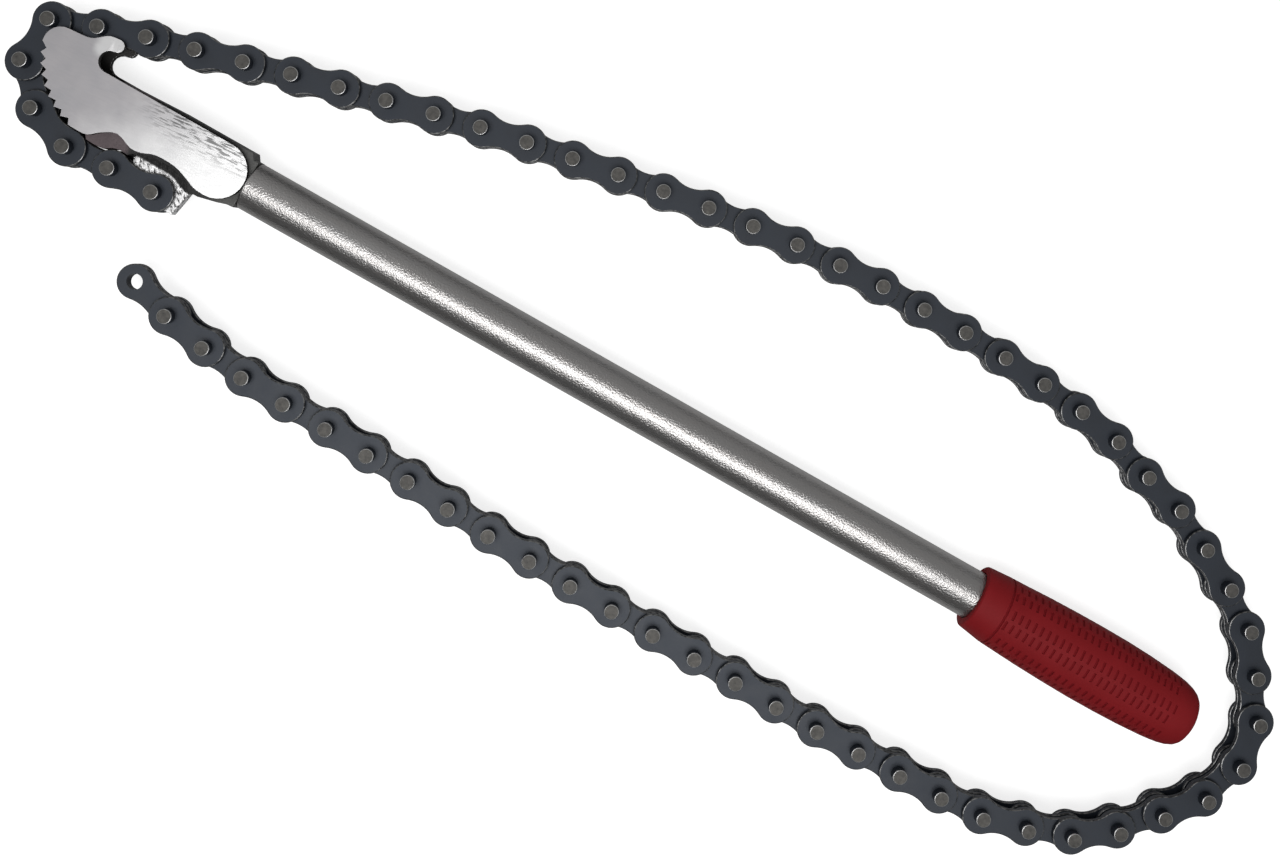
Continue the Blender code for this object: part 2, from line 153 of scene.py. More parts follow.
# Shares of the grip's length, of its swell from mouth to body, and of its drift away from the hook side
GRIP_SIDE_SHARES = (
    (0.0, 0.0, 0.05),
    (0.05, 0.32, 0.30),
    (0.17, 0.54, 0.44),
    (0.28, 0.77, 0.50),
    (0.40, 0.92, 0.57),
    (0.52, 1.0, 0.64),
    (0.64, 0.96, 0.68),
    (0.75, 0.80, 0.75),
    (0.85, 0.52, 0.82),
)
# Shares of the grip's length, of the body's radius and of the drift
GRIP_END_SHARES = (
    (0.885, 0.895, 0.85),
    (0.92, 0.862, 0.88),
    (0.95, 0.81, 0.92),
    (0.972, 0.745, 0.95),
    (0.985, 0.67, 0.97),
    (0.995, 0.55, 1.0),
    (1.0, 0.36, 1.0),
)

# Sizes of the finishes' patterns: the spots of their noises, and the heights of their bumps
JAW_GRAIN = 0.5 * MM
JAW_SCRATCH = 4.5 * MM
JAW_CLOUD = 12.0 * MM
JAW_BUMP = 0.1 * MM
BRIGHT_EDGE_GRAIN = 1.2 * MM
SIDE_STREAK = 0.8 * MM
SIDE_CLOUD = 6.0 * MM
SIDE_BUMP = 0.1 * MM
CORE_GRAIN = 0.8 * MM
CORE_CLOUD = 7.0 * MM
CORE_BUMP = 0.2 * MM
LUG_GRAIN = 2.2 * MM
LUG_BUMP = 0.3 * MM
TUBE_GRAIN = 0.7 * MM
TUBE_STREAK = 2.2 * MM
TUBE_CLOUD = 14.0 * MM
TUBE_BUMP = 0.2 * MM
RUBBER_GRAIN = 0.35 * MM
RUBBER_CLOUD = 9.0 * MM
RUBBER_BUMP = 0.08 * MM
GROOVE_GRAIN = 0.6 * MM
PLATE_GRAIN = 0.5 * MM
PLATE_CLOUD = 8.0 * MM
PLATE_BUMP = 0.08 * MM
PLATE_EDGE_GRAIN = 1.5 * MM
PIN_MOTTLE = 1.4 * MM
PIN_GRAIN = 0.4 * MM
PIN_BUMP = 0.15 * MM
PIN_RIM_GRAIN = 1.0 * MM

# Camera: its focal length and its principal point in the photo's pixels, and its place and turns
IMAGE_WIDTH = 1280
IMAGE_HEIGHT = 858
FOCAL_PIXELS = 1537.2
PRINCIPAL_X = 717.0
PRINCIPAL_Y = 275.0
SENSOR_WIDTH_MM = 36.0
CAMERA_PLACE = Vector((177.7, 49.34, 626.14)) * MM
HANDLE_TILT = math.radians(29.777)
CAMERA_YAW = math.radians(-2.96)
CAMERA_PITCH = math.radians(-0.43)

# Studio
FLOOR_SIZE = 4.0
FLOOR_TONE = 0.5
FLOOR_GLOW = 0.75
SOFTBOX_PLACE = Vector((0.24, -0.26, 1.0))
SOFTBOX_LENGTH = 1.0
SOFTBOX_WIDTH = 0.44
SOFTBOX_POWER = 8.0
FILL_PLACE = Vector((-0.5, 0.7, 1.1))
FILL_SIZE = 0.9
FILL_POWER = 0.6
SKY_LEVEL = 0.4
FRONT_SKY_LEVEL = 0.15
FRONT_SKY_START = -0.25
FRONT_SKY_END = -0.75


class Value:
    """A shader socket. Sums and products of values add Math nodes."""

    def __init__(self, finish, socket):
        self.finish = finish
        self.socket = socket

    def math(self, operation, first, second):
        return self.finish.node("ShaderNodeMath", {"operation": operation}, {0: first, 1: second})

    def __add__(self, other):
        return self.math("ADD", self, other)

    def __sub__(self, other):
        return self.math("SUBTRACT", self, other)

    def __rsub__(self, other):
        return self.math("SUBTRACT", other, self)

    def __mul__(self, other):
        return self.math("MULTIPLY", self, other)

    __radd__ = __add__
    __rmul__ = __mul__


class Finish:
    """A material and its nodes."""

    def __init__(self, name):
        self.material = bpy.data.materials.new(name)
        self.material.use_nodes = True
        self.tree = self.material.node_tree
        self.shader = self.tree.nodes["Principled BSDF"]

    def fill(self, socket, value):
        if isinstance(value, Value):
            self.tree.links.new(value.socket, socket)
        else:
            socket.default_value = value

    def node(self, kind, settings=None, sockets=None, output=0):
        """Adds a node, makes its settings, fills its sockets and gives one of its outputs."""
        made = self.tree.nodes.new(kind)
        for name, value in (settings or {}).items():
            setattr(made, name, value)
        for name, value in (sockets or {}).items():
            self.fill(made.inputs[name], value)
        return Value(self, made.outputs[output])

    def set(self, **sockets):
        """Fills the shader's sockets: a name such as base_color stands for Base Color."""
        for name, value in sockets.items():
            self.fill(self.shader.inputs[name.replace("_", " ").title()], value)

    def place(self, turn=0.0, stretch=(1, 1, 1)):
        """Object coordinates, turned about Z and then stretched."""
        coordinates = self.node("ShaderNodeTexCoord", output="Object")
        turned = self.node("ShaderNodeMapping", None, {"Vector": coordinates, "Rotation": (0, 0, turn)})
        return self.node("ShaderNodeMapping", None, {"Vector": turned, "Scale": stretch})

    def split(self, place, axis):
        """One coordinate of a place."""
        return self.node("ShaderNodeSeparateXYZ", None, {"Vector": place}, output=axis)

    def noise(self, place, size, detail=2.0):
        """Noise from 0 to 1 with features of that size."""
        sockets = {"Vector": place, "Scale": 1 / size, "Detail": detail}
        return self.node("ShaderNodeTexNoise", None, sockets)

    def step(self, value, low, high):
        """0 below low and 1 above high, with a smooth rise between."""
        settings = {"interpolation_type": "SMOOTHSTEP"}
        sockets = {"Value": value, "From Min": low, "From Max": high}
        return self.node("ShaderNodeMapRange", settings, sockets)

    def mix(self, share, first, second):
        """The first colour where the share is 0 and the second where it is 1."""
        sockets = {0: share, 6: first, 7: second}
        return self.node("ShaderNodeMix", {"data_type": "RGBA"}, sockets, output=2)

    def bump(self, height, strength, distance):
        sockets = {"Height": height, "Strength": strength, "Distance": distance}
        return self.node("ShaderNodeBump", None, sockets)


class Sky(Finish):
    """The world and its nodes."""

    def __init__(self, name):
        self.world = bpy.data.worlds.new(name)
        self.world.use_nodes = True
        self.tree = self.world.node_tree
        self.shader = self.tree.nodes["Background"]


def colour(red, green, blue):
    return (red, green, blue, 1.0)


def grey(level):
    return colour(level, level, level)


# Finishes
def jaw_face_finish():
    """Ground steel: dull and grey over the teeth, nearly white at the rear as a painted highlight, scratched
    along the plate.
    """
    finish = Finish("jaw_ground_steel")
    plain = finish.place()
    scratches = finish.noise(finish.place(SCRATCH_TURN, (1, 6, 1)), JAW_SCRATCH, 6)
    grain = finish.noise(plain, JAW_GRAIN, 3)
    clouds = finish.noise(plain, JAW_CLOUD, 4)
    here = finish.split(plain, "X")
    across = finish.split(plain, "Y")
    ragged = (clouds - 0.5) * JAW_BRIGHT_RAGGEDNESS
    # Painted highlight: the face turns near-white towards the rear, along a ragged edge.
    rear = finish.step(here - across + ragged, JAW_BRIGHT_START_X, JAW_BRIGHT_END_X)
    distance = {"operation": "DISTANCE"}
    # A lighter round patch about the hook, with a ragged edge.
    from_hook = finish.node("ShaderNodeVectorMath", distance, {0: plain, 1: HOOK_MIDDLE}, "Value")
    from_hook = from_hook + (clouds - 0.5) * HOOK_SHINE_RADIUS
    lighter_hook_patch = finish.step(from_hook, HOOK_SHINE_RADIUS, HOOK_SHINE_RADIUS / 2)
    band = finish.step(across, SCRATCH_LOW_Y, SCRATCH_FULL_Y)
    band = band * finish.step(here, SCRATCH_START_X, SCRATCH_FULL_X)
    marks = finish.step(scratches, 0.47, 0.6) * band
    dull = finish.mix(clouds, colour(0.29, 0.29, 0.305), colour(0.40, 0.38, 0.387))
    clean = finish.mix(rear + lighter_hook_patch * 0.8, dull, grey(0.58))
    finish.set(base_color=finish.mix(marks * 0.75, clean, grey(0.1)), metallic=0.9)
    finish.set(roughness=0.5 - rear * 0.12 + marks * 0.15 + (scratches - 0.5) * 0.2)
    finish.set(normal=finish.bump(grain * 0.3 - marks, 0.3, JAW_BUMP))
    return finish.material


def bright_edge_finish():
    """Worn corners of the jaws, rubbed smooth by use; their near-white, hardly metallic colour is painted
    highlight.
    """
    finish = Finish("jaw_bright_edge")
    grain = finish.noise(finish.place(), BRIGHT_EDGE_GRAIN, 3)
    # Painted highlight: a near-white base colour on the rounded corners.
    finish.set(base_color=finish.mix(grain, grey(0.8), grey(0.97)), metallic=0.1)
    finish.set(roughness=0.25 + grain * 0.2)
    return finish.material


def jaw_side_finish():
    """Very dark, streaked steel on the plates' cut sides; on the jaws' inner faces the same colour is painted
    shade.
    """
    finish = Finish("jaw_dark_side")
    plain = finish.place()
    streaks = finish.noise(finish.place(0, (1, 1, 0.15)), SIDE_STREAK, 4)
    clouds = finish.noise(plain, SIDE_CLOUD, 2)
    finish.set(base_color=finish.mix(clouds, grey(0.015), colour(0.06, 0.055, 0.052)), metallic=0.6)
    finish.set(roughness=0.45 + streaks * 0.3)
    finish.set(normal=finish.bump(streaks, 0.4, SIDE_BUMP))
    return finish.material


def core_finish():
    """Forging scale, mid grey at the tube and black beside the jaws, where the black is dark scale with
    painted shade; the brown on the belly behind the teeth is painted shade.
    """
    finish = Finish("core_forging")
    plain = finish.place()
    grain = finish.noise(plain, CORE_GRAIN, 4)
    clouds = finish.noise(plain, CORE_CLOUD, 3)
    here = finish.split(plain, "X")
    # Painted shade: the brown belly stands for the shaded pocket between jaw and chain.
    brown = finish.mix(clouds, colour(0.07, 0.056, 0.06), colour(0.125, 0.1, 0.105))
    # Dark scale with painted shade beside the jaws.
    black = finish.mix(clouds, grey(0.012), grey(0.03))
    satin = finish.mix(clouds, grey(0.05), colour(0.11, 0.11, 0.105))
    rear = finish.mix(finish.step(here, CORE_BLACK_END_X, CORE_SATIN_START_X), black, satin)
    finish.set(base_color=finish.mix(finish.step(here, CORE_BROWN_END_X, CORE_BLACK_START_X), brown, rear))
    finish.set(metallic=0.7, roughness=0.42 + grain * 0.25)
    finish.set(normal=finish.bump(grain * 0.6 + clouds * 0.4, 0.5, CORE_BUMP))
    return finish.material


def lug_finish():
    """Coarsely ground bright steel of the anchor lug, with the core's shadow painted black on it next to the
    core.
    """
    finish = Finish("lug_ground_steel")
    plain = finish.place()
    coarse = finish.noise(finish.place(LUG_GRINDING_TURN, (1, 2.6, 1)), LUG_GRAIN, 8)
    clean = finish.step(coarse, 0.38, 0.5)
    # Painted shadow: black on the lug next to the core, wider towards the rear.
    rise = finish.step(finish.split(plain, "X"), 0.0, LUG_SHADOW_SLOPE_LENGTH) * LUG_SHADOW_SLOPE_DROP
    near_core = finish.split(plain, "Y") + rise + (coarse - 0.5) * LUG_SHADOW_RAGGEDNESS
    core_shadow = finish.step(near_core, LUG_SHADOW_EDGE_Y - LUG_SHADOW_RAGGEDNESS / 2, LUG_SHADOW_EDGE_Y)
    ground = finish.mix(clean, grey(0.1), grey(0.66))
    finish.set(base_color=finish.mix(core_shadow, ground, grey(0.012)), metallic=0.75)
    finish.set(roughness=0.6 - clean * 0.2)
    finish.set(normal=finish.bump(coarse, 0.8, LUG_BUMP))
    return finish.material


def tube_finish():
    """Satin steel tube with a coarse sparkling grain and faint streaks along it."""
    finish = Finish("tube_satin_steel")
    plain = finish.place()
    grain = finish.noise(plain, TUBE_GRAIN, 2)
    streaks = finish.noise(finish.place(0, (0.08, 1, 1)), TUBE_STREAK, 4)
    clouds = finish.noise(finish.place(0, (0.3, 1, 1)), TUBE_CLOUD, 2)
    warm = finish.mix(clouds, colour(0.31, 0.295, 0.285), colour(0.39, 0.37, 0.36))
    finish.set(base_color=finish.mix(streaks, warm, grey(0.33)), metallic=1.0)
    finish.set(roughness=0.28 + grain * 0.04)
    finish.set(normal=finish.bump(grain, 1.0, TUBE_BUMP))
    return finish.material


def rubber_finish():
    """Matt red rubber with a faint mould texture."""
    finish = Finish("grip_red_rubber")
    plain = finish.place()
    grain = finish.noise(plain, RUBBER_GRAIN, 3)
    clouds = finish.noise(plain, RUBBER_CLOUD, 3)
    finish.set(base_color=finish.mix(clouds, colour(0.155, 0.003, 0.005), colour(0.195, 0.006, 0.009)))
    finish.set(roughness=0.6 + grain * 0.15)
    finish.fill(finish.shader.inputs["Specular IOR Level"], 0.18)
    finish.set(normal=finish.bump(grain, 0.25, RUBBER_BUMP))
    return finish.material


def groove_finish():
    """The same rubber in the grooves, matt, with a darker colour that is painted shade."""
    finish = Finish("grip_groove_rubber")
    grain = finish.noise(finish.place(), GROOVE_GRAIN, 3)
    # Painted shade: the groove rubber is darker than the grip's.
    finish.set(base_color=finish.mix(grain, colour(0.13, 0.003, 0.005), colour(0.165, 0.005, 0.008)))
    finish.set(roughness=0.75 + grain * 0.15)
    finish.fill(finish.shader.inputs["Specular IOR Level"], 0.15)
    return finish.material


def plate_finish():
    """Black oxide of the chain plates, with a blue tone and faint rubbed patches."""
    finish = Finish("chain_black_oxide")
    plain = finish.place()
    grain = finish.noise(plain, PLATE_GRAIN, 3)
    clouds = finish.noise(plain, PLATE_CLOUD, 3)
    finish.set(base_color=finish.mix(clouds, colour(0.009, 0.012, 0.018), colour(0.017, 0.023, 0.034)))
    finish.set(metallic=0.35, roughness=0.36 + clouds * 0.15 + grain * 0.08)
    finish.set(normal=finish.bump(grain, 0.25, PLATE_BUMP))
    return finish.material


def plate_edge_finish():
    """The plates' rounded corners, where the oxide is rubbed thin."""
    finish = Finish("chain_rubbed_edge")
    grain = finish.noise(finish.place(), PLATE_EDGE_GRAIN, 3)
    rubbed = finish.step(grain, 0.35, 0.65)
    finish.set(base_color=finish.mix(rubbed, grey(0.04), grey(0.17)), metallic=0.9)
    finish.set(roughness=0.28 + grain * 0.15)
    return finish.material


def pin_end_finish():
    """Bare cut ends of the pins, mottled grey."""
    finish = Finish("pin_cut_end")
    plain = finish.place()
    mottle = finish.noise(plain, PIN_MOTTLE, 4)
    grain = finish.noise(plain, PIN_GRAIN, 3)
    finish.set(base_color=finish.mix(mottle, grey(0.03), colour(0.13, 0.124, 0.114)), metallic=0.8)
    finish.set(roughness=0.5 + grain * 0.2)
    finish.set(normal=finish.bump(mottle * 0.6 + grain * 0.4, 0.7, PIN_BUMP))
    return finish.material


def pin_rim_finish():
    """Bright chamfer round each pin's end."""
    finish = Finish("pin_bright_chamfer")
    grain = finish.noise(finish.place(), PIN_RIM_GRAIN, 3)
    finish.set(base_color=finish.mix(grain, grey(0.16), grey(0.62)), metallic=1.0)
    finish.set(roughness=0.3 + grain * 0.2)
    return finish.material


def floor_finish():
    """White floor. It glows a little for the camera, and shadows still show."""
    finish = Finish("floor_white")
    camera = finish.node("ShaderNodeLightPath", output="Is Camera Ray")
    transmission = finish.node("ShaderNodeLightPath", output="Is Transmission Ray")
    finish.set(base_color=grey(FLOOR_TONE), roughness=0.9)
    seen = finish.node("ShaderNodeEmission", None, {"Strength": (camera + transmission) * FLOOR_GLOW})
    both = finish.node("ShaderNodeAddShader", None, {0: seen, 1: Value(finish, finish.shader.outputs[0])})
    output = finish.tree.nodes["Material Output"]
    finish.tree.links.new(both.socket, output.inputs["Surface"])
    return finish.material


# Shapes
def mesh_from(name, shape, materials):
    """Turns a finished bmesh into a mesh with its faces outward and its materials."""
    bmesh.ops.recalc_face_normals(shape, faces=shape.faces)
    mesh = bpy.data.meshes.new(name)
    shape.to_mesh(mesh)
    shape.free()
    for material in materials:
        mesh.materials.append(material)
    mesh.shade_smooth()
    mesh.set_sharp_from_angle(angle=SHARP_ANGLE)
    return mesh


def add_piece(name, mesh, body, slot, *nodes):
    """Places a mesh as a piece that rides on a body and stands for the nodes."""
    piece = bpy.data.objects.new(name, mesh)
    bpy.context.scene.collection.objects.link(piece)
    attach(piece, body)
    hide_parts(*nodes)
    return piece


def sharp_edges(shape, least_angle):
    return [edge for edge in shape.edges if edge.is_manifold and edge.calc_face_angle() > least_angle]


def round_edges(shape, edges, width, material, segments=2):
    """Rounds the edges and gives the new faces a material."""
    rounded = bmesh.ops.bevel(
        shape,
        geom=edges,
        offset=width,
        segments=segments,
        affect="EDGES",
        profile=0.5,
        material=-1,
        clamp_overlap=True,
    )
    for face in rounded["faces"]:
        face.material_index = material


def last_vertex(swept):
    return [item for item in swept["geom_last"] if isinstance(item, bmesh.types.BMVert)][0]


def sweep_arc(shape, vertex, centre, degrees, steps):
    """Draws an arc of edges from the vertex about the centre and gives its last vertex."""
    swept = bmesh.ops.spin(
        shape, geom=[vertex], cent=centre, axis=(0, 0, 1), angle=math.radians(degrees), steps=steps
    )
    return last_vertex(swept)


def mirror_plate(shape, centre, axis):
    bmesh.ops.mirror(
        shape,
        geom=shape.verts[:] + shape.edges[:] + shape.faces[:],
        matrix=Matrix.Translation(-centre),
        merge_dist=MERGE_DISTANCE,
        axis=axis,
    )


def plate_shape(lobe, waist, bore, low, high):
    """One plate with two bores. Its first pin is at zero and its second one pitch along X."""
    shape = bmesh.new()
    middle = CHAIN_PITCH / 2
    waist_radius = (middle**2 + waist**2 - lobe**2) / (2 * (lobe - waist))
    waist_centre = Vector((middle, waist + waist_radius, 0))
    tangent = math.degrees(math.atan2(waist_centre.y, waist_centre.x))
    inner = shape.verts.new((-bore, 0, 0))
    outer = shape.verts.new((-lobe, 0, 0))
    lobe_ring = bmesh.ops.spin(
        shape,
        geom=[inner, outer, shape.edges.new((inner, outer))],
        cent=(0, 0, 0),
        axis=(0, 0, 1),
        angle=math.radians(tangent - 180),
        steps=LOBE_STEPS,
    )
    ends = [item for item in lobe_ring["geom_last"] if isinstance(item, bmesh.types.BMVert)]
    inner, outer = sorted(ends, key=lambda vertex: vertex.co.length)
    drawn = set(shape.edges)
    inner = sweep_arc(shape, inner, (0, 0, 0), -tangent, WAIST_STEPS)
    outer = sweep_arc(shape, outer, waist_centre, 90 - tangent, WAIST_STEPS)
    bmesh.ops.bridge_loops(shape, edges=[edge for edge in shape.edges if edge not in drawn])
    corner = shape.verts.new((middle, 0, 0))
    bmesh.ops.contextual_create(shape, geom=[inner, corner, outer])
    mirror_plate(shape, Vector((middle, 0, 0)), "X")
    mirror_plate(shape, Vector((0, 0, 0)), "Y")
    bmesh.ops.remove_doubles(shape, verts=shape.verts, dist=MERGE_DISTANCE)
    raised = bmesh.ops.extrude_face_region(shape, geom=shape.faces[:])
    moved = [item for item in raised["geom"] if isinstance(item, bmesh.types.BMVert)]
    bmesh.ops.translate(shape, verts=moved, vec=(0, 0, high - low))
    bmesh.ops.translate(shape, verts=shape.verts[:], vec=(0, 0, low))
    bmesh.ops.recalc_face_normals(shape, faces=shape.faces)
    return shape


def is_level(edge):
    return abs(edge.verts[0].co.z - edge.verts[1].co.z) < MERGE_DISTANCE


def outer_rim(shape, bore):
    """The sharp edges of a plate that don't lie on its bores."""
    rim = []
    for edge in sharp_edges(shape, CORNER_ANGLE):
        middle = (edge.verts[0].co + edge.verts[1].co) / 2
        reach = min(math.hypot(middle.x, middle.y), math.hypot(middle.x - CHAIN_PITCH, middle.y))
        if reach > bore + PLATE_EDGE and is_level(edge):
            rim.append(edge)
    return rim


PLATE, RIM, PIN_END, PIN_RIM = range(4)


def add_plates(target, lobe, waist, bore, low, high):
    """Adds a pair of plates, at low to high and at the mirrored levels."""
    for bottom, top in ((low, high), (-high, -low)):
        shape = plate_shape(lobe, waist, bore, bottom, top)
        round_edges(shape, outer_rim(shape, bore), PLATE_EDGE, RIM)
        join(target, shape)


def join(target, shape):
    """Moves a shape's geometry into the target."""
    mesh = bpy.data.meshes.new("part")
    shape.to_mesh(mesh)
    shape.free()
    target.from_mesh(mesh)
    bpy.data.meshes.remove(mesh)


def add_pin(target, x, half_length):
    shape = bmesh.new()
    bmesh.ops.create_cone(
        shape,
        cap_ends=True,
        segments=PIN_SEGMENTS,
        radius1=PIN_RADIUS,
        radius2=PIN_RADIUS,
        depth=2 * half_length,
        matrix=Matrix.Translation((x, 0, 0)),
    )
    for face in shape.faces:
        face.material_index = PIN_END if len(face.verts) > 4 else PLATE
    round_edges(shape, sharp_edges(shape, CORNER_ANGLE), PIN_CHAMFER, PIN_RIM)
    join(target, shape)


def add_bush(target, x, bore, half_length):
    """A short tube about the bore."""
    shape = bmesh.new()
    corners = [(bore, -half_length), (bore + BUSH_WALL, -half_length)]
    corners += [(bore + BUSH_WALL, half_length), (bore, half_length)]
    ring = [shape.verts.new((x + radius, 0, z)) for radius, z in corners]
    edges = [shape.edges.new((a, b)) for a, b in zip(ring, ring[1:] + ring[:1])]
    bmesh.ops.spin(
        shape,
        geom=edges,
        cent=(x, 0, 0),
        axis=(0, 0, 1),
        angle=2 * math.pi,
        steps=PIN_SEGMENTS,
        use_merge=True,
    )
    bmesh.ops.recalc_face_normals(shape, faces=shape.faces)
    join(target, shape)


def outer_link_shape():
    shape = bmesh.new()
    low = INNER_PLATE_SPACING / 2 + INNER_PLATE_THICKNESS + PLATE_GAP
    high = low + OUTER_PLATE_THICKNESS
    add_plates(shape, OUTER_LOBE_RADIUS, OUTER_WAIST, PIN_RADIUS, low, high)
    for x in (0, CHAIN_PITCH):
        add_pin(shape, x, high + PIN_END_LENGTH)
    return shape


def inner_link_shape():
    shape = bmesh.new()
    low = INNER_PLATE_SPACING / 2
    bore = PIN_RADIUS + BORE_CLEARANCE
    add_plates(shape, INNER_LOBE_RADIUS, INNER_WAIST, bore, low, low + INNER_PLATE_THICKNESS)
    for x in (0, CHAIN_PITCH):
        add_bush(shape, x, bore, low)
    return shape


def chain_materials():
    return [plate_finish(), plate_edge_finish(), pin_end_finish(), pin_rim_finish()]


def mean_place(mesh):
    total = Vector()
    for vertex in mesh.vertices:
        total += vertex.co
    return total / len(mesh.vertices)


def build_chain():
    """One piece for each link or rigid pair of links, at the place and turn of its hinge."""
    materials = chain_materials()
    outer = mesh_from("outer_link_shape", outer_link_shape(), materials)
    inner = mesh_from("inner_link_shape", inner_link_shape(), materials)
    pair_shape = bmesh.new()
    pair_shape.from_mesh(outer)
    bmesh.ops.translate(pair_shape, verts=pair_shape.verts[:], vec=(CHAIN_PITCH, 0, 0))
    pair_shape.from_mesh(inner)
    pair = mesh_from("pair_shape", pair_shape, materials)
    joints = frame["joints"]
    for joint, after in zip(joints, joints[1:] + [None]):
        body = joint["child"]
        node = body.removesuffix("_body")
        pin = Vector(joint["pos_m"])
        end = Vector(after["pos_m"]) if after else mean_place(frame["nodes"][node].data)
        turn = math.atan2(end.y - pin.y, end.x - pin.x)
        number = int(node.split("_")[1])
        mesh = outer if number % 2 else inner
        if node.startswith("links"):
            mesh = pair
        mesh = mesh.copy()
        mesh.transform(Matrix.Translation(pin) @ Matrix.Rotation(turn, 4, "Z"))
        add_piece(f"{node}_detailed", mesh, body, "chain_steel", node)
    for template in (outer, inner, pair):
        bpy.data.meshes.remove(template)


def merged_copy(node):
    """The CAD node's shape with its loose triangles merged and its flat faces whole."""
    shape = bmesh.new()
    shape.from_mesh(frame["nodes"][node].data)
    bmesh.ops.remove_doubles(shape, verts=shape.verts, dist=MERGE_DISTANCE)
    bmesh.ops.dissolve_limit(
        shape, angle_limit=FLAT_ANGLE, verts=shape.verts, edges=shape.edges, use_dissolve_boundaries=False
    )
    for face in shape.faces:
        face.material_index = 0
    return shape


def build_jaw(node, materials):
    """A jaw with worn corners, a ground outer face, and the dark side finish on its sides and on the inner
    face, where it is painted shade.
    """
    face_index, edge_index, side_index = range(3)
    outward = mean_height(node) - mean_height("head_core")
    shape = merged_copy(node)
    # The inner face takes the dark side finish as painted shade between the jaws.
    for face in shape.faces:
        ground = face.normal.z * outward > 0.5 * abs(outward)
        face.material_index = face_index if ground else side_index
    rims = [edge for edge in sharp_edges(shape, CORNER_ANGLE) if is_level(edge)]
    round_edges(shape, rims, JAW_EDGE, edge_index)
    add_piece(f"{node}_detailed", mesh_from(node, shape, materials), "handle", "jaw_steel", node)


def build_jaws():
    materials = [jaw_face_finish(), bright_edge_finish(), jaw_side_finish()]
    build_jaw("upper_jaw", materials)
    build_jaw("lower_jaw", materials)


def lower_belly(shape):
    """Brings the belly closer to the chain than in the solid, but not into the first link's round end, so that
    its brown painted shade fills the pocket between jaw and chain.
    """
    pin = Vector(frame["joints"][1]["pos_m"])
    reach = OUTER_LOBE_RADIUS + BELLY_GAP
    for vertex in shape.verts:
        if BELLY_FRONT_X < vertex.co.x < BELLY_REAR_X and vertex.co.y < BELLY_TOP_Y:
            aside = min(abs(vertex.co.x - pin.x), reach)
            lobe_top = pin.y + math.sqrt(reach**2 - aside**2)
            vertex.co.y = max(vertex.co.y - BELLY_EXTRA_DEPTH, lobe_top)


def build_core():
    """The core and lug."""
    core_index, lug_index = range(2)
    shape = merged_copy("head_core")
    lower_belly(shape)
    round_edges(shape, sharp_edges(shape, CORE_CORNER_ANGLE), CORE_EDGE, core_index)
    for face in shape.faces:
        centre = face.calc_center_median()
        level = abs(centre.z - mean_height("head_core"))
        on_lug_face = centre.y < LUG_TOP_Y and level < LUG_LEVEL and abs(face.normal.z) > 0.5
        if on_lug_face or centre.y < LUG_SIDE_TOP_Y:
            face.material_index = lug_index
    mesh = mesh_from("head_core", shape, [core_finish(), lug_finish()])
    add_piece("head_core_detailed", mesh, "handle", "core_steel", "head_core")


def mean_height(node):
    low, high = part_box(node)
    return (low.z + high.z) / 2


def turned_shape(profile, steps, closed):
    """Spins a profile of (x, radius) about the X axis at zero height."""
    shape = bmesh.new()
    line = [shape.verts.new((x, radius, 0)) for x, radius in profile]
    edges = [shape.edges.new((a, b)) for a, b in zip(line, line[1:])]
    if closed:
        edges.append(shape.edges.new((line[-1], line[0])))
    bmesh.ops.spin(
        shape,
        geom=edges,
        cent=(0, 0, 0),
        axis=(1, 0, 0),
        angle=2 * math.pi,
        steps=steps,
        use_merge=True,
    )
    bmesh.ops.remove_doubles(shape, verts=shape.verts, dist=MERGE_DISTANCE)
    bmesh.ops.recalc_face_normals(shape, faces=shape.faces)
    return shape


def build_tube():
    low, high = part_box("handle_tube")
    bore = TUBE_RADIUS - TUBE_WALL
    profile = [
        (low.x, bore),
        (low.x, TUBE_RADIUS - TUBE_CHAMFER),
        (low.x + TUBE_CHAMFER, TUBE_RADIUS),
        (high.x - TUBE_CHAMFER, TUBE_RADIUS),
        (high.x, TUBE_RADIUS - TUBE_CHAMFER),
        (high.x, bore),
    ]
    shape = turned_shape(profile, TUBE_STEPS, True)
    bmesh.ops.translate(shape, verts=shape.verts, vec=(0, 0, (low.z + high.z) / 2))
    mesh = mesh_from("handle_tube", shape, [tube_finish()])
    add_piece("handle_tube_detailed", mesh, "handle", "tube_steel", "handle_tube")


def between(rows, along, column):
    """A value read off rows of shares at a share of the length."""
    for before, after in zip(rows, rows[1:]):
        if along <= after[0]:
            t = (along - before[0]) / (after[0] - before[0])
            return before[column] + (after[column] - before[column]) * t
    return rows[-1][column]


def grip_radius(along):
    swell = GRIP_BODY_RADIUS - GRIP_MOUTH_RADIUS
    rows = [(share, GRIP_MOUTH_RADIUS + swell * grown) for share, grown, _ in GRIP_SIDE_SHARES]
    rows += [(share, GRIP_BODY_RADIUS * size) for share, size, _ in GRIP_END_SHARES]
    return between(rows, along, 1)


def grip_drift(along):
    rows = [*GRIP_SIDE_SHARES, *GRIP_END_SHARES]
    return -GRIP_DRIFT * between(rows, along, 2)


